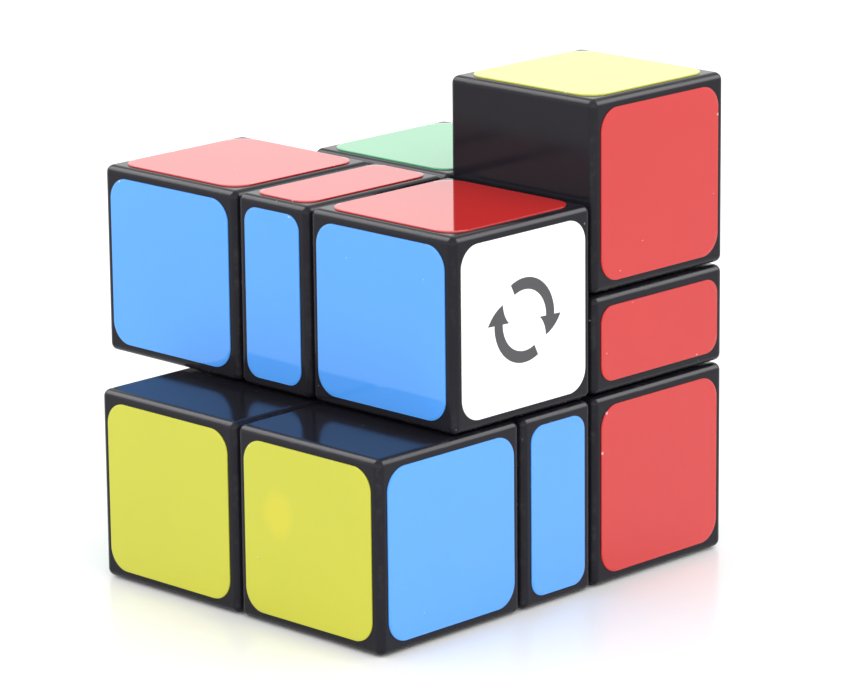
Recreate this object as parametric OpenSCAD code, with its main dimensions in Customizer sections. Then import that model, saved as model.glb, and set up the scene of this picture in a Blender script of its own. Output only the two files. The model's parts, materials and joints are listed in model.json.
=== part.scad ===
// Shape-shifting 2 x 2 x 3 twisty puzzle: eight full cubes and four thin slabs on one hidden
// core, shown after two quarter turns. Millimetres, +Z up. +X is the right-hand side, -Y the front.
// The row origin is the middle of the bounding box's bottom face; every turning axis goes
// through the core's middle.

/* [Blocks] */
// Edge of a full block's cell
block = 25; // [20:0.5:32]
// Thickness of a thin slab's cell
slab = 13; // [12:0.5:16]
// Clearance between neighbouring pieces
gap = 0.3; // [0.2:0.05:0.6]
// Radius of the rounded plastic edges
edge_r = 1; // [0.5:0.1:2]
// Wall of a hollow block
wall = 1.8; // [1.2:0.1:2.5]

/* [Stickers] */
// Thickness of a sticker
sticker_t = 0.15; // [0.1:0.05:0.15]
// Plastic left bare beside a full sticker, from the cell's edge
margin = 1.5; // [1.2:0.05:2.5]
// Bare plastic beside the narrow side of a slab's sticker
slab_margin = 1.65; // [1.2:0.05:2.5]
// Corner radius of a full sticker
sticker_r = 2.95; // [1:0.05:5]
// Corner radius of a slab's sticker
slab_sticker_r = 2.1; // [1:0.05:4]

/* [Hidden mechanism] */
// Radius of the ball-shaped cavity in the middle of the blocks
cavity_r = 11.5; // [11.5:0.1:11.6]
// Half the thickness of the hidden middle slices
slice = 2.8; // [2.8:0.05:2.9]
// How far an outer flange laps over its neighbour
flange = 1; // [0.8:0.1:1]
// Outer radius of the inner layer of feet and wedges
layer_r = 8.7; // [8.6:0.1:8.8]
// Radius of a core arm
arm_r = 1.9; // [1.5:0.1:2.2]
// Radius of a tension screw's shank
screw_r = 1; // [0.8:0.1:1]
// Radius of a tension screw's head
head_r = 1.85; // [1.5:0.05:1.85]
// Number of coils in a tension spring
coils = 3; // [2:1:5]

/* [Slab rails] */
// Middle radius of the curved rail
rail_r = 17; // [16.5:0.1:17.5]
// Width of the rail's neck
rail_neck = 2.1; // [1.6:0.1:2.4]
// Width of the rail's head
rail_head = 4.7; // [4:0.1:5]

/* [Hidden] */
$fn = 64;
in = gap / 2;                       // inset of every block face from its cell
core_at = [slab / 2, slab / 2, block]; // core's middle in the row frame
outer_r = cavity_r - gap;           // outside of the caps and wedges
lap_r = layer_r + gap;              // inside of the outer flanges
go_in = slice + in;                 // inner layer, moving side starts here
stay_in = slice - in;               // inner layer, still side ends here
stay_out = slice + flange;          // outer layer, still side ends here
go_out = stay_out + gap;            // outer layer, moving side starts here
arm_end = 4.6;                      // end of an active arm
floor_lo = arm_end + gap;           // underside of a cap's floor
floor_hi = floor_lo + 1.4;          // spring seat in a cap
pocket_r = head_r + 0.35;           // pocket round spring and screw head
spring_hi = floor_hi + 2.2;         // top of the spring
washer_hi = spring_hi + 0.3;        // top of the washer
head_hi = washer_hi + 1.4;          // top of the screw head
shank_lo = 1.2;                     // tip of the shank, near the core's middle
run = 0.08;                         // running clearance of a cap on its screw
neck_in = 0.15;                     // side clearance of the rail in its slot
lip_lo = slab - 1.8;                // underside of the slot's lips
rail_lo = lip_lo - 1.5;             // underside of the rail's head
slot_lo = rail_lo - gap;            // bottom of the slot
rail_a = 8;                         // rail stops this far from each end of its quarter, degrees
plate = 2;                          // thickness of a cover plate
big = 60;

// Piece = [octant of the core it sits in, axis it was stacked on, kind]
// kind: 0 full block at the core, 1 thin slab at the core, 2 full block outside a slab
front_left  = [[-1, -1, -1], 1, 2];
front_right = [[ 1, -1, -1], 1, 2];
low_right   = [[ 1, -1, -1], 1, 1];
back_right  = [[ 1,  1, -1], 2, 0];
low_left    = [[-1, -1, -1], 1, 1];
back_left   = [[-1,  1, -1], 1, 0];
top_left    = [[-1, -1,  1], 0, 2];
top_slab    = [[-1, -1,  1], 0, 1];
top_front   = [[ 1, -1,  1], 0, 0];
mast_slab   = [[ 1,  1,  1], 2, 1];
mast        = [[ 1,  1,  1], 2, 2];
top_back    = [[-1,  1,  1], 1, 0];

near = [0, 0, slab];                // start of a piece along its stacking axis
far = [block, slab, slab + block];  // end of a piece along its stacking axis
function span(p, i) = i == p[1] ? [near[p[2]], far[p[2]]] : [0, block];
function lo(p, i) = p[0][i] > 0 ? span(p, i)[0] : -span(p, i)[1];
function hi(p, i) = p[0][i] > 0 ? span(p, i)[1] : -span(p, i)[0];

black = [0.035, 0.033, 0.036];
ink = [0.09, 0.09, 0.1];
steel = [0.6, 0.6, 0.62];
white = [0.93, 0.93, 0.92];
yellow = [0.76, 0.77, 0.13];
blue = [0.16, 0.48, 0.95];
green = [0.2, 0.62, 0.38];
red = [0.8, 0.12, 0.1];
orange = [0.95, 0.36, 0.07];

// ---- helpers ----
module round_rect(x, y, r) {
  square([x - 2 * r, y], center = true);
  square([x, y - 2 * r], center = true);
  for (i = [-1, 1], j = [-1, 1]) translate([i * (x / 2 - r), j * (y / 2 - r)]) circle(r = r);
}

// Box between two corners with all twelve edges rounded
module round_box(a, b) {
  s = b - a;
  translate((a + b) / 2) intersection() {
    linear_extrude(s[2], center = true) round_rect(s[0], s[1], edge_r);
    rotate([90, 0, 0]) linear_extrude(s[1], center = true) round_rect(s[0], s[2], edge_r);
    rotate([90, 0, 90]) linear_extrude(s[0], center = true) round_rect(s[1], s[2], edge_r);
  }
}

module box(a, b) translate(a) cube(b - a);

// Everything beyond x, y and z on the positive side
module beyond(x, y, z) translate([x, y, z]) cube(big);

module flip(v, on) {
  if (on) mirror(v) children();
  else children();
}

// Put a shape drawn in the (+,+,+) octant, stacked along Z, into its own octant and axis
module in_octant(p) {
  flip([1, 0, 0], p[0][0] < 0) flip([0, 1, 0], p[0][1] < 0) flip([0, 0, 1], p[0][2] < 0)
    rotate(a = p[1] == 2 ? 0 : 120 * (p[1] + 1), v = [1, 1, 1]) children();
}

module at_core() translate(core_at) children();

// ---- hollow blocks ----
module shell_shape(z0) difference() {
  round_box([in, in, z0 + in], [block - in, block - in, z0 + block - in]);
  box([in + wall, in + wall, z0 - 1], [block - in - wall, block - in - wall, z0 + block - in - wall]);
  if (z0 == 0) sphere(cavity_r);
}

module shell(p) color(black) at_core() in_octant(p) shell_shape(near[p[2]]);

module plate_shape(z0)
  box([in + wall, in + wall, z0 + in], [block - in - wall, block - in - wall, z0 + in + plate]);

// Foot that the caps and wedges hold: a lug in the inner layer on a neck through the outer one
module foot_shape() {
  intersection() {
    beyond(go_in, go_in, go_in);
    sphere(layer_r);
  }
  intersection() {
    beyond(go_out, go_out, go_out);
    sphere(cavity_r + 0.8);
  }
}

// Inner cover of a block at the core: plate, ball-shaped wall and foot
module foot_cover(p) color(ink) at_core() in_octant(p) {
  difference() {
    union() {
      plate_shape(0);
      intersection() {
        box([in + wall, in + wall, in], [block / 2 + 2, block / 2 + 2, block / 2 + 2]);
        sphere(cavity_r + wall);
      }
    }
    sphere(cavity_r);
  }
  foot_shape();
}

module arc_bar(r, w, z0, z1, a0, a1) translate([0, 0, z0]) rotate([0, 0, a0])
  rotate_extrude(angle = a1 - a0) translate([r - w / 2, 0]) square([w, z1 - z0]);

// Inner cover of a block outside a slab: plate with the curved T-shaped rail
module rail_cover(p) color(ink) at_core() in_octant(p) {
  plate_shape(slab);
  arc_bar(rail_r, rail_neck, lip_lo - 0.1, slab + in + 0.5, rail_a, 90 - rail_a);
  arc_bar(rail_r, rail_head, rail_lo, lip_lo, rail_a, 90 - rail_a);
}

// Thin slab: a thick moulding with the rail's slot outside and its foot inside
module slab_piece(p) color(black) at_core() in_octant(p) {
  difference() {
    round_box([in, in, in], [block - in, block - in, slab - in]);
    sphere(cavity_r);
    arc_bar(rail_r, rail_neck + 2 * neck_in, lip_lo - 0.1, slab, -6, 96);
    arc_bar(rail_r, rail_head + 2 * neck_in, slot_lo, lip_lo, -6, 96);
  }
  foot_shape();
}

// ---- stickers ----
module sticker(p, i) {
  l = [lo(p, 0), lo(p, 1), lo(p, 2)];
  h = [hi(p, 0), hi(p, 1), hi(p, 2)];
  c = (l + h) / 2;
  m = [for (k = [0:2]) p[2] == 1 && k == p[1] ? slab_margin : margin];
  s = h - l - 2 * m;
  r = p[2] == 1 ? slab_sticker_r : sticker_r;
  out = p[0][i] > 0;
  at_core()
    if (i == 0) translate([out ? h[0] - in : l[0] + in - sticker_t, c[1], c[2]]) rotate([90, 0, 90])
      linear_extrude(sticker_t) round_rect(s[1], s[2], r);
    else if (i == 1) translate([c[0], out ? h[1] - in + sticker_t : l[1] + in, c[2]]) rotate([90, 0, 0])
      linear_extrude(sticker_t) round_rect(s[0], s[2], r);
    else translate([c[0], c[1], out ? h[2] - in : l[2] + in - sticker_t])
      linear_extrude(sticker_t) round_rect(s[0], s[1], r);
}

// ---- hidden mechanism, inside the ball-shaped cavity ----
// Wedge in the (+,+) quadrant of the slice across Z
module wedge() {
  intersection() {
    translate([go_in, go_in, -stay_in]) cube([big, big, 2 * stay_in]);
    sphere(layer_r);
  }
  intersection() {
    translate([go_out, go_out, -stay_in]) cube([big, big, 2 * stay_in]);
    sphere(outer_r);
  }
  intersection() {
    translate([go_out, go_out, -stay_out]) cube([big, big, 2 * stay_out]);
    difference() {
      sphere(outer_r);
      sphere(lap_r);
    }
  }
}

// x, y, z: -1, 0 or 1, with the 0 on the axis of the wedge's slice
module wedge_at(x, y, z) color(ink) at_core()
  flip([1, 0, 0], x < 0) flip([0, 1, 0], y < 0) flip([0, 0, 1], z < 0)
    rotate(a = z == 0 ? 0 : x == 0 ? 120 : 240, v = [1, 1, 1]) wedge();

// Outside of a centre cap on +Z
module cap_block(z0) {
  intersection() {
    translate([-stay_in, -stay_in, z0]) cube([2 * stay_in, 2 * stay_in, big]);
    sphere(outer_r);
  }
  intersection() {
    translate([-stay_out, -stay_out, 0]) cube([2 * stay_out, 2 * stay_out, big]);
    difference() {
      sphere(outer_r);
      sphere(lap_r);
    }
  }
}

// Turning cap: bored for its screw, with a pocket for spring, washer and screw head
module cap() color(ink) difference() {
  cap_block(floor_lo);
  cylinder(h = big, r = screw_r + run);
  translate([0, 0, floor_hi]) cylinder(h = big, r = pocket_r);
}

// Turns a shape on +Z onto +X (0), +Y (1) or +Z (2)
module on_axis(i) rotate(i == 0 ? [0, 90, 0] : i == 1 ? [-90, 0, 0] : [0, 0, 0]) children();

// Ball with six arms; the arms to -X, -Y and -Z end in fixed caps
module core() color(ink) at_core() difference() {
  union() {
    sphere(2.6);
    for (i = [0:2]) {
      on_axis(i) cylinder(h = arm_end, r = arm_r);
      flip([i == 0 ? 1 : 0, i == 1 ? 1 : 0, i == 2 ? 1 : 0], true) on_axis(i) fixed_arm();
    }
  }
  for (i = [0:2]) on_axis(i) translate([0, 0, shank_lo]) cylinder(h = big, r = screw_r + 0.01);
}

module fixed_arm() {
  cylinder(h = floor_hi, r = arm_r);
  cap_block(floor_lo);
}

module tension_screws() color(steel) at_core() for (i = [0:2]) on_axis(i) difference() {
  union() {
    translate([0, 0, shank_lo]) cylinder(h = washer_hi - shank_lo + 0.1, r = screw_r);
    translate([0, 0, washer_hi]) cylinder(h = head_hi - washer_hi, r = head_r);
  }
  for (a = [0, 90]) rotate([0, 0, a]) translate([-1.1, -0.25, head_hi - 0.7]) cube([2.2, 0.5, 1]);
}

module tension_washers() color(steel) at_core() for (i = [0:2]) on_axis(i)
  translate([0, 0, spring_hi]) difference() {
    cylinder(h = washer_hi - spring_hi, r = head_r);
    translate([0, 0, -1]) cylinder(h = 3, r = screw_r + 0.1);
  }

// Flat-wire coil with the section's angle chosen so that the coils stay apart
module tension_springs() color(steel) at_core() for (i = [0:2]) on_axis(i)
  translate([0, 0, floor_hi])
    linear_extrude(spring_hi - floor_hi, twist = -360 * coils, slices = 8 * coils, $fn = 8)
      coil_section();

module coil_section() polygon([
  for (a = [0:50:150]) (head_r - 0.05) * [cos(a), sin(a)],
  for (a = [150:-50:0]) (screw_r + 0.3) * [cos(a), sin(a)]
]);

front_left_shell();
front_left_cover();
front_right_shell();
front_right_cover();
top_left_shell();
top_left_cover();
mast_shell();
mast_cover();
back_right_shell();
back_right_foot();
back_left_shell();
back_left_foot();
top_front_shell();
top_front_foot();
top_back_shell();
top_back_foot();
slab_low_left();
slab_low_right();
slab_top();
slab_mast();
core();
cap_right();
cap_back();
cap_top();
wedges_base();
wedges_right();
wedges_back();
wedges_top();
wedge_back_right();
wedge_top_right();
wedge_top_back();
tension_screws();
tension_washers();
tension_springs();
base_yellow();
base_green();
base_orange();
right_yellow();
right_blue();
right_orange();
back_orange();
back_white();
back_blue();
back_right_red();
back_right_green();
back_right_white();
top_blue();
top_red();
top_yellow();
top_front_blue();
top_front_red();
top_front_white();
top_back_green();
top_back_orange();
top_back_white();
mast_red();
mast_green();
mast_yellow();

module front_left_shell() shell(front_left);
module front_left_cover() rail_cover(front_left);
module front_right_shell() shell(front_right);
module front_right_cover() rail_cover(front_right);
module top_left_shell() shell(top_left);
module top_left_cover() rail_cover(top_left);
module mast_shell() shell(mast);
module mast_cover() rail_cover(mast);
module back_right_shell() shell(back_right);
module back_right_foot() foot_cover(back_right);
module back_left_shell() shell(back_left);
module back_left_foot() foot_cover(back_left);
module top_front_shell() shell(top_front);
module top_front_foot() foot_cover(top_front);
module top_back_shell() shell(top_back);
module top_back_foot() foot_cover(top_back);
module slab_low_left() slab_piece(low_left);
module slab_low_right() slab_piece(low_right);
module slab_top() slab_piece(top_slab);
module slab_mast() slab_piece(mast_slab);

module cap_right() at_core() on_axis(0) cap();
module cap_back() at_core() on_axis(1) cap();
module cap_top() at_core() on_axis(2) cap();

// Hidden edge wedges, grouped by the body they ride on
module wedges_base() {
  wedge_at(-1, -1, 0);
  wedge_at(-1, 0, -1);
  wedge_at(0, -1, -1);
}
module wedges_right() {
  wedge_at(1, -1, 0);
  wedge_at(1, 0, -1);
}
module wedges_back() {
  wedge_at(-1, 1, 0);
  wedge_at(0, 1, -1);
}
module wedges_top() {
  wedge_at(-1, 0, 1);
  wedge_at(0, -1, 1);
}
module wedge_back_right() wedge_at(1, 1, 0);
module wedge_top_right() wedge_at(1, 0, 1);
module wedge_top_back() wedge_at(0, 1, 1);

// Stickers, one node per body and colour
module base_yellow() color(yellow) sticker(front_left, 1);
module base_green() color(green) for (p = [front_left, low_left]) sticker(p, 0);
module base_orange() color(orange) for (p = [front_left, low_left]) sticker(p, 2);
module right_yellow() color(yellow) sticker(front_right, 1);
module right_blue() color(blue) for (p = [front_right, low_right]) sticker(p, 0);
module right_orange() color(orange) for (p = [front_right, low_right]) sticker(p, 2);
module back_orange() color(orange) sticker(back_left, 0);
module back_white() color(white) sticker(back_left, 1);
module back_blue() color(blue) sticker(back_left, 2);
module back_right_red() color(red) sticker(back_right, 0);
module back_right_green() color(green) sticker(back_right, 1);
module back_right_white() color(white) sticker(back_right, 2);
module top_blue() color(blue) for (p = [top_left, top_slab]) sticker(p, 1);
module top_red() color(red) for (p = [top_left, top_slab]) sticker(p, 2);
module top_yellow() color(yellow) sticker(top_left, 0);
module top_front_blue() color(blue) sticker(top_front, 1);
module top_front_red() color(red) sticker(top_front, 2);
module top_front_white() color(white) sticker(top_front, 0);
module top_back_green() color(green) sticker(top_back, 2);
module top_back_orange() color(orange) sticker(top_back, 0);
module top_back_white() color(white) sticker(top_back, 1);
module mast_red() color(red) for (p = [mast, mast_slab]) sticker(p, 0);
module mast_green() color(green) for (p = [mast, mast_slab]) sticker(p, 1);
module mast_yellow() color(yellow) sticker(mast, 2);
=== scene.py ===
"""Looks for the shape-shifting 2 x 2 x 3 twisty puzzle: glossy black blocks and slabs with rounded
edges, vinyl stickers, the hidden mechanism's plastics and steels, a pale floor and soft studio light."""

import json
import math

import bmesh
import bpy
from mathutils import Matrix, Vector

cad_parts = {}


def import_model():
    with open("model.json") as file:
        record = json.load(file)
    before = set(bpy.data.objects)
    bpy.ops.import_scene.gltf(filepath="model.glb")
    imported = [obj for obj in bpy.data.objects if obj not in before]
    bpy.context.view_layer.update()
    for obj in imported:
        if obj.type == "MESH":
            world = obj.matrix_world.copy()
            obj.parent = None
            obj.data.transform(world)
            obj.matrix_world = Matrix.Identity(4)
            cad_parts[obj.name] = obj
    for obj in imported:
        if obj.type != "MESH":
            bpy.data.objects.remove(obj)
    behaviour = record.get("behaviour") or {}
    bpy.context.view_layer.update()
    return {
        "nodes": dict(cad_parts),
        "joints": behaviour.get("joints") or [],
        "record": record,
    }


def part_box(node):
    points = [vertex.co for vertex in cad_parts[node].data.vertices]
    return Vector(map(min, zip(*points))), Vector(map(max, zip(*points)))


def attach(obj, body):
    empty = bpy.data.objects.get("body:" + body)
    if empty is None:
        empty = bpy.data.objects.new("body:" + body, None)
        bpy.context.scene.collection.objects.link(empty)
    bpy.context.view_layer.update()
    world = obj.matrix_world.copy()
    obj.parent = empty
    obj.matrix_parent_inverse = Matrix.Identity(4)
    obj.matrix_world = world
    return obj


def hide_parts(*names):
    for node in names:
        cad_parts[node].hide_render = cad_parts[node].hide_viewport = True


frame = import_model()

MM = 0.001
CORE = Vector(frame["joints"][0]["pos_m"])   # where the three turning axes meet
BODY_OF = {n: b for b, ns in frame["record"]["behaviour"]["bodies"].items() for n in ns}
SLOT_OF = {s["node"]: s["material_slot"] for s in frame["record"]["subparts"]}

# Blocks and slabs
EDGE_R = 1.0 * MM         # rounded plastic edges
EDGE_STEPS = 6            # facets round an edge
WELD = 0.002 * MM         # points closer than this are one
WALL = 1.8 * MM           # wall of a hollow block
CAVITY_R = 11.5 * MM      # ball-shaped cavity round the core
NECK_R = 12.3 * MM        # how far out a foot's neck reaches into its moulding
LUG_R = 8.7 * MM          # outside of a foot's lug
LUG_FROM = 2.95 * MM      # a lug starts this far from the core's three planes
NECK_FROM = 4.1 * MM      # and its neck this far
RAIL_R = 17.0 * MM        # middle radius of a slab's curved slot
SLOT_NECK = 2.4 * MM      # width of the slot's mouth
SLOT_HEAD = 5.0 * MM      # width of the slot's undercut
LIP = 1.8 * MM            # depth of the slot's lips, from the slab's cell
SLOT_DEPTH = 3.6 * MM     # full depth of the slot, from the slab's cell
RING_STEPS = 128          # points round the slot
PAST_ALL = 30 * MM        # far enough from the core to be past every foot
FLUSH = 0.02 * MM         # two faces closer than this are flush
SHARP = 35                # degrees between faces that stay a sharp edge

# Stickers
STICKER_R = 2.95 * MM     # corner radius on a full block
SLAB_STICKER_R = 2.1 * MM # corner radius on a slab
STICKER_T = 0.15 * MM     # thickness
NARROW = 15 * MM          # a sticker narrower than this is on a slab
CORNER_STEPS = 14         # points round a sticker's corner
ROUND_TOP = 0.04 * MM     # softened upper edge of a sticker
RIM = 0.45 * MM           # how far in the worn rim of a sticker reaches


# ---------------------------------------------------------------- meshes
def new_object(name, bm):
    mesh = bpy.data.meshes.new(name)
    bmesh.ops.recalc_face_normals(bm, faces=bm.faces)
    bm.to_mesh(mesh)
    bm.free()
    obj = bpy.data.objects.new(name, mesh)
    bpy.context.scene.collection.objects.link(obj)
    return obj


def box_mesh(lo, hi):
    bm = bmesh.new()
    bmesh.ops.create_cube(bm, size=1)
    bmesh.ops.scale(bm, vec=hi - lo, verts=bm.verts)
    bmesh.ops.translate(bm, vec=(lo + hi) / 2, verts=bm.verts)
    return bm


def rounded_box(name, lo, hi):
    """A box whose twelve edges and eight corners are rounded like a moulding's."""
    bm = box_mesh(lo, hi)
    bmesh.ops.bevel(bm, geom=bm.edges[:], offset=EDGE_R, offset_type="OFFSET",
                    segments=EDGE_STEPS, profile=0.5, affect="EDGES", clamp_overlap=True)
    return new_object(name, bm)


def cutter_box(lo, hi):
    return new_object("cutter", box_mesh(lo, hi))


def cutter_ball(radius):
    bm = bmesh.new()
    bmesh.ops.create_uvsphere(bm, u_segments=72, v_segments=36, radius=radius)
    bmesh.ops.translate(bm, vec=CORE, verts=bm.verts)
    return new_object("cutter", bm)


def cutter_ring(axis, z0, z1, width):
    """Ring round the stacking axis through the core, between two heights above the core."""
    bm = bmesh.new()
    rings = []
    for k in range(RING_STEPS):
        a = 2 * math.pi * k / RING_STEPS
        rings.append([bm.verts.new((r * math.cos(a), r * math.sin(a), z))
                      for r, z in ((RAIL_R - width / 2, z0), (RAIL_R + width / 2, z0),
                                   (RAIL_R + width / 2, z1), (RAIL_R - width / 2, z1))])
    for k in range(RING_STEPS):
        p, q = rings[k], rings[(k + 1) % RING_STEPS]
        for i in range(4):
            j = (i + 1) % 4
            bm.faces.new((p[i], q[i], q[j], p[j]))
    turn = Vector((0, 0, 1)).rotation_difference(axis).to_matrix().to_4x4()
    bmesh.ops.transform(bm, matrix=Matrix.Translation(CORE) @ turn, verts=bm.verts)
    return new_object("cutter", bm)


def combine(obj, other, operation):
    """Applies one boolean and removes the other object."""
    m = obj.modifiers.new("cut", "BOOLEAN")
    m.operation = operation
    m.solver = "EXACT"
    m.object = other
    bpy.context.view_layer.update()
    seen = obj.evaluated_get(bpy.context.evaluated_depsgraph_get())
    done = bpy.data.meshes.new_from_object(seen)
    obj.modifiers.clear()
    obj.data = done
    bpy.data.objects.remove(other)


def weld(obj):
    """Joins the points that the booleans left a hair apart, and closes any facet lost with them."""
    bm = bmesh.new()
    bm.from_mesh(obj.data)
    bmesh.ops.remove_doubles(bm, verts=bm.verts, dist=WELD)
    bmesh.ops.dissolve_degenerate(bm, edges=bm.edges, dist=WELD)
    bmesh.ops.holes_fill(bm, edges=[e for e in bm.edges if e.is_boundary])
    bmesh.ops.recalc_face_normals(bm, faces=bm.faces)
    bm.to_mesh(obj.data)
    bm.free()


def finish_surface(obj):
    """Smooth shading that keeps flat faces flat and real edges sharp."""
    for p in obj.data.polygons:
        p.use_smooth = True
    obj.data.set_sharp_from_angle(angle=math.radians(SHARP))
    m = obj.modifiers.new("flat_faces", "WEIGHTED_NORMAL")
    m.mode = "FACE_AREA"
    m.weight = 100
    m.keep_sharp = True


def mark_edges(obj, node):
    """Stores how far round a rounded edge each point lies: 0 on flat faces, 0.7 halfway round."""
    lo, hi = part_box(node)
    edge = obj.data.attributes.new("edge", "FLOAT", "POINT")
    for v in obj.data.vertices:
        depth = sorted(min(v.co[i] - lo[i], hi[i] - v.co[i]) for i in range(3))
        edge.data[v.index].value = max(0, 1 - depth[1] / EDGE_R)


def place_of(node):
    """A node's lowest and highest corners, and its side of the core along each axis."""
    lo, hi = (Vector(v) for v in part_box(node))
    mid = (lo + hi) / 2
    return lo, hi, [1 if mid[i] > CORE[i] else -1 for i in range(3)]


def octant_box(sign, start):
    """Corners of a box on one side of the core's three planes, from `start` out past every foot."""
    a = CORE + Vector([s * start for s in sign])
    b = CORE + Vector([s * PAST_ALL for s in sign])
    return Vector([min(p, q) for p, q in zip(a, b)]), Vector([max(p, q) for p, q in zip(a, b)])


def open_side(node, cover):
    """Axis number of a block's open side, and the sign that leads from that side into the block.

    A rail cover reaches out of its block on the open side. A foot cover is flush with it.
    """
    lo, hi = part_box(node)
    cover_lo, cover_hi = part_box(cover)
    for i in range(3):
        for sign, beyond in ((1, lo[i] - cover_lo[i]), (-1, cover_hi[i] - hi[i])):
            if beyond > MM if cover.endswith("cover") else abs(beyond) < FLUSH:
                return i, sign


def block(node, cover):
    """Hollow block: rounded outside, open on the side its cover closes."""
    lo, hi, sign = place_of(node)
    axis, inward = open_side(node, cover)
    obj = rounded_box(node + "_look", lo, hi)
    a, b = lo + Vector([WALL] * 3), hi - Vector([WALL] * 3)
    if inward > 0:
        a[axis] = lo[axis] - MM
    else:
        b[axis] = hi[axis] + MM
    combine(obj, cutter_box(a, b), "DIFFERENCE")
    corner = Vector([lo[i] if sign[i] > 0 else hi[i] for i in range(3)])
    if (corner - CORE).length < CAVITY_R:
        combine(obj, cutter_ball(CAVITY_R), "DIFFERENCE")
    return obj


def slab(node):
    """Thin slab: solid moulding with the curved slot outside and the foot inside."""
    lo, hi, sign = place_of(node)
    size = hi - lo
    axis = min(range(3), key=lambda i: size[i])
    obj = rounded_box(node + "_look", lo, hi)
    combine(obj, cutter_ball(CAVITY_R), "DIFFERENCE")
    away = Vector([sign[i] if i == axis else 0 for i in range(3)])
    top = abs((hi if sign[axis] > 0 else lo)[axis] - CORE[axis]) + STICKER_T
    combine(obj, cutter_ring(away, top - SLOT_DEPTH, top - LIP, SLOT_HEAD), "DIFFERENCE")
    combine(obj, cutter_ring(away, top - LIP - 0.1 * MM, top + MM, SLOT_NECK), "DIFFERENCE")
    for start, radius in ((NECK_FROM, NECK_R), (LUG_FROM, LUG_R)):
        foot = cutter_box(*octant_box(sign, start))
        combine(foot, cutter_ball(radius), "INTERSECT")
        combine(obj, foot, "UNION")
    return obj


def islands(node):
    """Boxes of a node's separate solids, in the order of their first vertices."""
    bm = bmesh.new()
    bm.from_mesh(frame["nodes"][node].data)
    bmesh.ops.remove_doubles(bm, verts=bm.verts, dist=1e-7)
    seen, boxes = set(), []
    for first in bm.verts:
        if first in seen:
            continue
        seen.add(first)
        found = [first]
        for w in found:
            for e in w.link_edges:
                x = e.other_vert(w)
                if x not in seen:
                    seen.add(x)
                    found.append(x)
        cs = [w.co for w in found]
        boxes.append((Vector([min(c[i] for c in cs) for i in range(3)]),
                      Vector([max(c[i] for c in cs) for i in range(3)])))
    bm.free()
    return boxes


def sticker(node, k, lo, hi):
    """The k-th vinyl sticker of a node: rounded outline, flat face, softened upper edge."""
    size = hi - lo
    t = min(range(3), key=lambda i: size[i])
    u, v = [i for i in range(3) if i != t]
    radius = SLAB_STICKER_R if min(size[u], size[v]) < NARROW else STICKER_R
    middle = (lo + hi) / 2
    out = 1 if is_outward(node, middle, t) else -1
    base, top = (lo[t], hi[t]) if out > 0 else (hi[t], lo[t])
    round_off = 0.3 * ROUND_TOP
    levels = (   # inset from the outline, height, and 1 on the worn rim
        (0, base, 1),
        (0, top - out * ROUND_TOP, 1),
        (round_off, top - out * round_off, 1),
        (ROUND_TOP, top, 1),
        (RIM, top, 0),
    )
    bm = bmesh.new()
    rim = bm.verts.layers.float.new("rim")
    rings = []
    for inset, z, worn in levels:
        ring = []
        for cu, cv, a0 in ((1, 1, 0), (-1, 1, 90), (-1, -1, 180), (1, -1, 270)):
            for s in range(CORNER_STEPS + 1):
                a = math.radians(a0 + 90 * s / CORNER_STEPS)
                p = [0, 0, 0]
                p[u] = middle[u] + cu * (size[u] / 2 - radius) + (radius - inset) * math.cos(a)
                p[v] = middle[v] + cv * (size[v] / 2 - radius) + (radius - inset) * math.sin(a)
                p[t] = z
                ring.append(bm.verts.new(p))
                ring[-1][rim] = worn
        rings.append(ring)
    n = len(rings[0])
    for a, b in zip(rings, rings[1:]):
        for i in range(n):
            bm.faces.new((a[i], a[(i + 1) % n], b[(i + 1) % n], b[i]))
    bm.faces.new(rings[0])
    bm.faces.new(rings[-1])
    return new_object(f"{node}_look_{k}", bm)


def is_outward(node, middle, axis):
    """True if the sticker faces the positive side: its block's middle is then behind it."""
    blocks = [n for n in frame["nodes"] if BODY_OF[n] == BODY_OF[node] and
              (n.endswith("_shell") or n.startswith("slab_"))]
    def gap(n):
        lo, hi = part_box(n)
        return sum(max(lo[i] - middle[i], 0, middle[i] - hi[i]) for i in range(3))
    lo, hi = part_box(min(blocks, key=gap))
    return middle[axis] > (lo[axis] + hi[axis]) / 2


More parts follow.
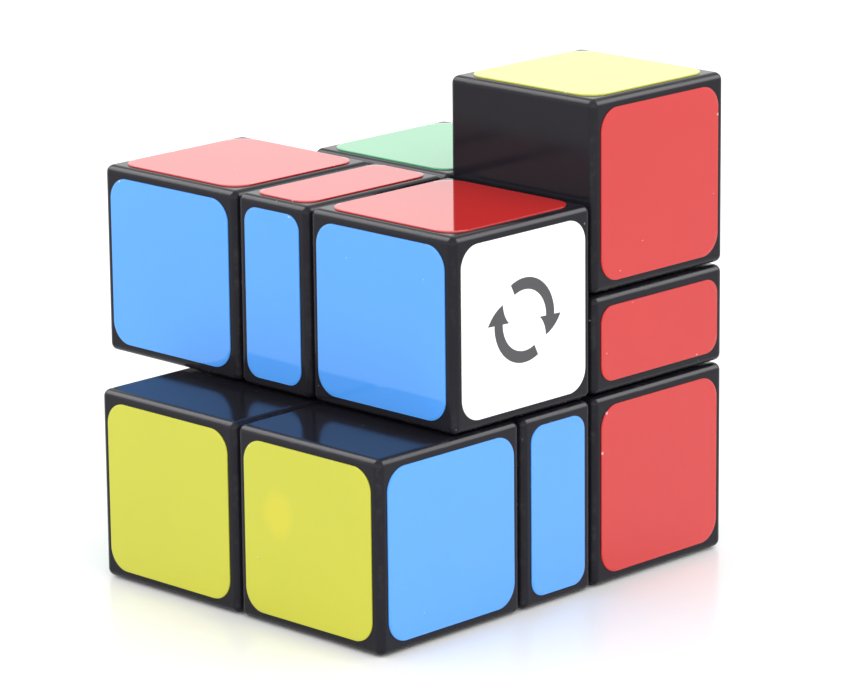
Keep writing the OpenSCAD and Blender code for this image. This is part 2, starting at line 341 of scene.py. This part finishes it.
# ---------------------------------------------------------------- materials
class Shader:
    """A material under construction. Each call adds nodes and returns the socket they end in.

    Noise scales are features per metre, because object coordinates are in metres.
    """

    def __init__(self, name):
        self.material = bpy.data.materials.new(name)
        self.material.use_nodes = True
        self.tree = self.material.node_tree
        self.bsdf = self.tree.nodes["Principled BSDF"]
        self.where = self.tree.nodes.new("ShaderNodeTexCoord").outputs["Object"]

    def put(self, value, socket):
        """Links a socket, or writes a number or a colour."""
        if isinstance(value, bpy.types.NodeSocket):
            self.tree.links.new(value, socket)
        elif isinstance(value, tuple) and socket.type == "RGBA":
            socket.default_value = (*value, 1)
        else:
            socket.default_value = value

    def set(self, name, value):
        self.put(value, self.bsdf.inputs[name])

    def node(self, kind, inputs, out=0, **settings):
        n = self.tree.nodes.new(kind)
        for key, value in settings.items():
            setattr(n, key, value)
        for key, value in inputs.items():
            self.put(value, n.inputs[key])
        return n.outputs[out]

    def math(self, operation, *values):
        return self.node("ShaderNodeMath", dict(enumerate(values)), operation=operation)

    def noise(self, scale, detail=3.0, rough=0.5, where=None):
        inputs = {"Vector": where or self.where, "Scale": scale, "Detail": detail, "Roughness": rough}
        return self.node("ShaderNodeTexNoise", inputs, "Fac")

    def ramp(self, value, low, high, a=0.0, b=1.0):
        """Turns low..high into a..b, and holds the ends."""
        inputs = {"Value": value, "From Min": low, "From Max": high, "To Min": a, "To Max": b}
        return self.node("ShaderNodeMapRange", inputs)

    def mix(self, factor, a, b):
        return self.node("ShaderNodeMix", {0: factor, 6: a, 7: b}, 2, data_type="RGBA")

    def bump(self, *layers):
        """Stacks (height, strength, distance) into the shader's normal."""
        below = None
        for height, strength, distance in layers:
            inputs = {"Height": height, "Strength": strength, "Distance": distance}
            if below:
                inputs["Normal"] = below
            below = self.node("ShaderNodeBump", inputs)
        self.set("Normal", below)

    def specks(self, cell, radius, share):
        """Irregular dots of a given radius, one to each cell, in patches. A larger share: more patches."""
        cells = {"Vector": self.where, "Scale": 1 / cell}
        dots = self.node("ShaderNodeTexVoronoi", cells, "Distance")
        ragged = self.math("SUBTRACT", self.noise(6000.0, 2.0), 0.5)
        outline = self.math("ADD", dots, self.math("MULTIPLY", ragged, 0.12))
        near = self.ramp(outline, radius / cell, 0.7 * radius / cell)
        patches = self.ramp(self.noise(75.0, 2.0), 0.62 - 0.3 * share, 0.66 - 0.3 * share)
        return self.math("MULTIPLY", near, patches)

    def scratches(self, turn):
        """Fine hairlines, about 20 mm long and 0.3 mm apart, that run along one direction."""
        stretch = {"Vector": self.where, "Rotation": turn, "Scale": (50.0, 3500.0, 3500.0)}
        along = self.node("ShaderNodeMapping", stretch)
        return self.ramp(self.noise(1.0, 2.0, 0.5, along), 0.70, 0.76)


def gloss_black():
    """The puzzle's moulded plastic: deep gloss, hazy patches, hairlines, dust and rubbed edges."""
    s = Shader("black_plastic")
    tone = s.ramp(s.noise(45.0, 4.0, 0.6), 0.3, 0.7)
    base = s.mix(tone, (0.0084, 0.0080, 0.0114), (0.0114, 0.0108, 0.0150))
    edge = s.node("ShaderNodeAttribute", {}, "Fac", attribute_name="edge")
    patchy = s.ramp(s.noise(330.0, 4.0, 0.7), 0.50, 0.64)
    rubbed = s.math("MULTIPLY", s.ramp(edge, 0.2, 0.6), patchy)
    base = s.mix(rubbed, base, (0.019, 0.0185, 0.0215))
    s.set("Base Color", s.mix(s.specks(3.0 * MM, 0.12 * MM, 0.6), base, (0.16, 0.155, 0.15)))
    lines = s.math("MAXIMUM", s.scratches((0.3, 0.5, 0.8)), s.scratches((1.1, -0.4, -0.6)))
    haze = s.ramp(s.noise(110.0, 5.0, 0.65), 0.3, 0.75, 0.11, 0.19)
    worn = s.math("ADD", s.math("MULTIPLY", lines, 0.06), s.math("MULTIPLY", rubbed, 0.14))
    s.set("Roughness", s.math("ADD", haze, worn))
    s.set("IOR", 1.22)
    nicks = s.math("MULTIPLY", rubbed, s.noise(1500.0, 3.0, 0.7))
    s.bump((s.noise(110.0, 2.0), 0.25, 0.03 * MM), (s.noise(2600.0, 2.0), 0.05, 0.01 * MM),
           (lines, 0.15, -0.004 * MM), (nicks, 0.5, -0.03 * MM))
    return s.material


def moulded_black(name, low, high, rough):
    """Unpolished inner mouldings with a fine spark-eroded grain."""
    s = Shader(name)
    s.set("Base Color", s.mix(s.ramp(s.noise(70.0, 4.0, 0.6), 0.3, 0.7), low, high))
    grain = s.noise(1500.0, 3.0, 0.6)
    s.set("Roughness", s.ramp(grain, 0.3, 0.7, rough - 0.06, rough + 0.08))
    s.bump((grain, 0.35, 0.02 * MM), (s.noise(160.0, 2.0), 0.15, 0.04 * MM))
    return s.material


def steel(name, colour, rough, streaks):
    """Plated steel with a fine, streaky polish."""
    s = Shader(name)
    tone = s.ramp(s.noise(300.0, 4.0, 0.7), 0.35, 0.65)
    s.set("Base Color", s.mix(tone, tuple(c * 0.72 for c in colour), colour))
    s.set("Metallic", 1.0)
    fine = s.noise(streaks, 3.0, 0.6)
    s.set("Roughness", s.ramp(fine, 0.3, 0.7, rough * 0.7, rough * 1.3))
    s.bump((fine, 0.3, 0.01 * MM))
    return s.material


def vinyl(colour, bright, change=None):
    """Glossy sticker film: faint mottle, slow waves, chipped rims and a little dust."""
    s = Shader("sticker_" + colour)
    shade = tuple(c * 0.972 for c in bright)
    base = s.mix(s.ramp(s.noise(55.0, 4.0, 0.55), 0.35, 0.62), shade, bright)
    if change:
        base = change(s, base)
    rim = s.node("ShaderNodeAttribute", {}, "Fac", attribute_name="rim")
    chips = s.math("MULTIPLY", s.specks(2.2 * MM, 0.22 * MM, 1.2), s.ramp(rim, 0.2, 0.4))
    dirt = s.math("MAXIMUM", chips, s.specks(3.4 * MM, 0.09 * MM, 0.3))
    pale = tuple(0.30 + 0.5 * c for c in bright)
    s.set("Base Color", s.mix(dirt, base, pale))
    haze = s.ramp(s.noise(140.0, 4.0, 0.6), 0.3, 0.75, 0.035, 0.075)
    s.set("Roughness", s.math("ADD", haze, s.math("MULTIPLY", dirt, 0.4)))
    s.set("IOR", 1.5)
    s.bump((s.noise(70.0, 2.0), 0.2, 0.02 * MM), (s.noise(1800.0, 2.0), 0.04, 0.006 * MM),
           (dirt, 0.3, 0.02 * MM))
    return s.material


def warm_oval(s, base):
    """The slightly lighter, warmer oval on the front block's yellow sticker."""
    lo, hi = (Vector(v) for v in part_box("right_yellow"))
    size = hi - lo
    middle = (lo.x + 0.27 * size.x, hi.y, lo.z + 0.60 * size.z)
    half_width, half_height = 2.9 * MM, 3.3 * MM
    away = s.node("ShaderNodeVectorMath", {0: s.where, 1: middle}, operation="SUBTRACT")
    to_round = (1 / half_width, 1 / MM, 1 / half_height)
    oval = s.node("ShaderNodeVectorMath", {0: away, 1: to_round}, operation="MULTIPLY")
    far = s.node("ShaderNodeVectorMath", {0: oval}, "Value", operation="LENGTH")
    ragged = s.math("ADD", far, s.math("MULTIPLY", s.noise(500.0, 2.0), 0.4))
    # mixes a lighter, warmer yellow into the film's colour inside the ragged oval
    return s.mix(s.ramp(ragged, 1.25, 0.85), base, (0.475, 0.442, 0.021))


def turn_mark(s, base):
    """A plain printed pair of turning arrows on the white sticker of the upper front block.

    Both arrows come from one, repeated every half turn. Its angle runs from the tip, at 0, to the tail.
    """
    lo, hi = (Vector(v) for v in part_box("top_front_white"))
    middle = (lo + hi) / 2
    radius, width = 4.6 * MM, 1.5 * MM
    head_length, head_half_width = 2.6 * MM, 1.9 * MM
    tilt, tail = 0.6, 0.84 * math.pi
    away = s.node("ShaderNodeVectorMath", {0: s.where, 1: tuple(middle)}, operation="SUBTRACT")
    parts = s.tree.nodes.new("ShaderNodeSeparateXYZ")
    s.put(away, parts.inputs[0])
    x, y, z = parts.outputs
    out = s.math("SQRT", s.math("ADD", s.math("POWER", y, 2.0), s.math("POWER", z, 2.0)))
    off_ring = s.math("ABSOLUTE", s.math("SUBTRACT", out, radius))
    turned = s.math("ADD", s.math("ARCTAN2", z, y), tilt)
    angle = s.math("FLOORED_MODULO", turned, math.pi)
    from_tip = s.math("MULTIPLY", angle, radius)
    past_head = s.math("GREATER_THAN", from_tip, 0.9 * head_length)
    before_tail = s.math("LESS_THAN", angle, tail)
    on_ring = s.math("LESS_THAN", off_ring, width / 2)
    shaft = s.math("MULTIPLY", on_ring, s.math("MULTIPLY", past_head, before_tail))
    flare = s.math("MULTIPLY", from_tip, head_half_width / head_length)
    in_head = s.math("LESS_THAN", from_tip, head_length)
    head = s.math("MULTIPLY", s.math("LESS_THAN", off_ring, flare), in_head)
    on_sticker = s.math("LESS_THAN", s.math("ABSOLUTE", x), STICKER_T)
    ink = s.math("MULTIPLY", on_sticker, s.math("MAXIMUM", shaft, head))
    return s.mix(ink, base, (0.035, 0.033, 0.037))


STICKERS = {   # colour of the film, and what is peculiar to one sticker
    "yellow": ((0.425, 0.425, 0.024), warm_oval),
    "blue": ((0.063, 0.275, 0.740), None),
    "green": ((0.072, 0.365, 0.165), None),
    "red": ((0.458, 0.0150, 0.0140), None),
    "orange": ((0.620, 0.150, 0.012), None),
    "white": ((0.850, 0.850, 0.850), turn_mark),
}
MATERIALS = {
    "black_plastic": gloss_black(),
    "inner_plastic": moulded_black("inner_plastic", (0.018, 0.018, 0.02), (0.028, 0.028, 0.03), 0.42),
    "nylon": moulded_black("nylon", (0.03, 0.03, 0.033), (0.045, 0.045, 0.048), 0.5),
    "screw_steel": steel("screw_steel", (0.62, 0.61, 0.60), 0.28, 1400.0),
    "washer_steel": steel("washer_steel", (0.66, 0.66, 0.67), 0.24, 1800.0),
    "spring_steel": steel("spring_steel", (0.50, 0.50, 0.52), 0.32, 2200.0),
}
for colour, (bright, change) in STICKERS.items():
    MATERIALS["sticker_" + colour] = vinyl(colour, bright, change)


def paint(obj, slot):
    obj.data.materials.clear()
    obj.data.materials.append(MATERIALS[slot])


# ---------------------------------------------------------------- the object
def stand_for(obj, name):
    paint(obj, SLOT_OF[name])
    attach(obj, BODY_OF[name])


lit_by_boxes = bpy.data.collections.new("lit_by_boxes")
for name, cad in frame["nodes"].items():
    if name.endswith("_shell"):
        stem = name[:-len("_shell")]
        cover = stem + "_cover" if stem + "_cover" in frame["nodes"] else stem + "_foot"
        made = [block(name, cover)]
        weld(made[0])
        mark_edges(made[0], name)
    elif name.startswith("slab_"):
        made = [slab(name)]
        weld(made[0])
        mark_edges(made[0], name)
    elif SLOT_OF[name].startswith("sticker_"):
        made = [sticker(name, k, lo, hi) for k, (lo, hi) in enumerate(islands(name))]
    else:
        made = []
        for s in cad.material_slots:
            s.material = MATERIALS[SLOT_OF[name]]
    for obj in made:
        finish_surface(obj)
        stand_for(obj, name)
        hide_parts(name)
        if SLOT_OF[name] == "black_plastic":
            lit_by_boxes.objects.link(obj)


# ---------------------------------------------------------------- stage
TENT_BACK = 1.57    # radiance of the light tent behind the puzzle, near the floor
TENT_FRONT = 3.2    # the same on the camera's side
TENT_TOP = 1.55     # straight above


def floor():
    """A plain white disc, a hair below the lowest stickers."""
    bm = bmesh.new()
    bmesh.ops.create_circle(bm, cap_ends=True, segments=96, radius=2.5)
    bmesh.ops.translate(bm, vec=(0, 0, -0.01 * MM), verts=bm.verts)
    obj = new_object("floor", bm)
    s = Shader("floor")
    s.set("Base Color", (0.73, 0.73, 0.73))
    s.set("Roughness", 0.22)
    s.set("IOR", 1.2)
    obj.data.materials.append(s.material)
    lit_by_boxes.objects.link(obj)


def soft_box(name, place, side, radiance):
    """Square panel that faces the puzzle. Only the black plastic, whose edges it picks out, and the floor
    reflect it."""
    data = bpy.data.lights.new(name, "AREA")
    data.shape = "SQUARE"
    data.size = side
    data.energy = radiance * math.pi * side * side
    obj = bpy.data.objects.new(name, data)
    obj.location = place
    obj.rotation_euler = (-place).to_track_quat("-Z", "Y").to_euler()
    obj.visible_diffuse = False
    obj.light_linking.receiver_collection = lit_by_boxes
    bpy.context.scene.collection.objects.link(obj)


def world():
    """A white light tent: brightest low down on the camera's side, dimmer overhead."""
    w = bpy.data.worlds.new("studio")
    w.use_nodes = True
    tree = w.node_tree
    direction = tree.nodes.new("ShaderNodeTexCoord").outputs["Generated"]
    height = tree.nodes.new("ShaderNodeSeparateXYZ")
    front = tree.nodes.new("ShaderNodeVectorMath")
    front.operation = "DOT_PRODUCT"
    front.inputs[1].default_value = (math.sqrt(0.5), -math.sqrt(0.5), 0)
    low = tree.nodes.new("ShaderNodeMapRange")
    low.inputs["From Min"].default_value = -0.4
    low.inputs["To Min"].default_value = TENT_BACK
    low.inputs["To Max"].default_value = TENT_FRONT
    both = tree.nodes.new("ShaderNodeMix")
    both.inputs["B"].default_value = TENT_TOP
    background = tree.nodes["Background"]
    background.inputs["Color"].default_value = (1, 1, 1, 1)
    for a, b in (
        (direction, height.inputs[0]),
        (direction, front.inputs[0]),
        (front.outputs["Value"], low.inputs["Value"]),
        (low.outputs[0], both.inputs["A"]),
        (height.outputs["Z"], both.inputs["Factor"]),
        (both.outputs[0], background.inputs["Strength"]),
    ):
        tree.links.new(a, b)
    bpy.context.scene.world = w


def camera():
    """Placed where the photographed puzzle was seen from: a long lens from the front right corner."""
    data = bpy.data.cameras.new("camera")
    data.lens = 189.32
    data.sensor_width = 36.0
    data.sensor_fit = "HORIZONTAL"
    data.clip_start = 0.01
    data.clip_end = 20.0
    yaw, pitch, roll = math.radians(134.455), math.radians(-14.528), math.radians(-0.578)
    ahead = Vector((math.cos(pitch) * math.cos(yaw), math.cos(pitch) * math.sin(yaw), math.sin(pitch)))
    right = ahead.cross(Vector((0, 0, 1))).normalized()
    up = right.cross(ahead)
    x = math.cos(roll) * right + math.sin(roll) * up
    y = -math.sin(roll) * right + math.cos(roll) * up
    obj = bpy.data.objects.new("camera", data)
    place = Matrix((x, y, -ahead)).transposed().to_4x4()
    place.translation = Vector((400.9, -398.6, 174.5)) * MM
    obj.matrix_world = place
    bpy.context.scene.collection.objects.link(obj)
    bpy.context.scene.camera = obj


floor()
world()
for side, radiance, reach in ((0.90, 3.9, 1.25), (0.55, 5.0, 1.20)):
    soft_box("left_box", Vector((-0.66, -0.25, 0.66)) * reach, side, radiance)
    soft_box("right_box", Vector((0.48, 0.66, 0.52)) * reach, 0.9 * side, radiance)
camera()
bpy.context.scene.view_settings.view_transform = "Standard"
bpy.context.scene.view_settings.look = "None"
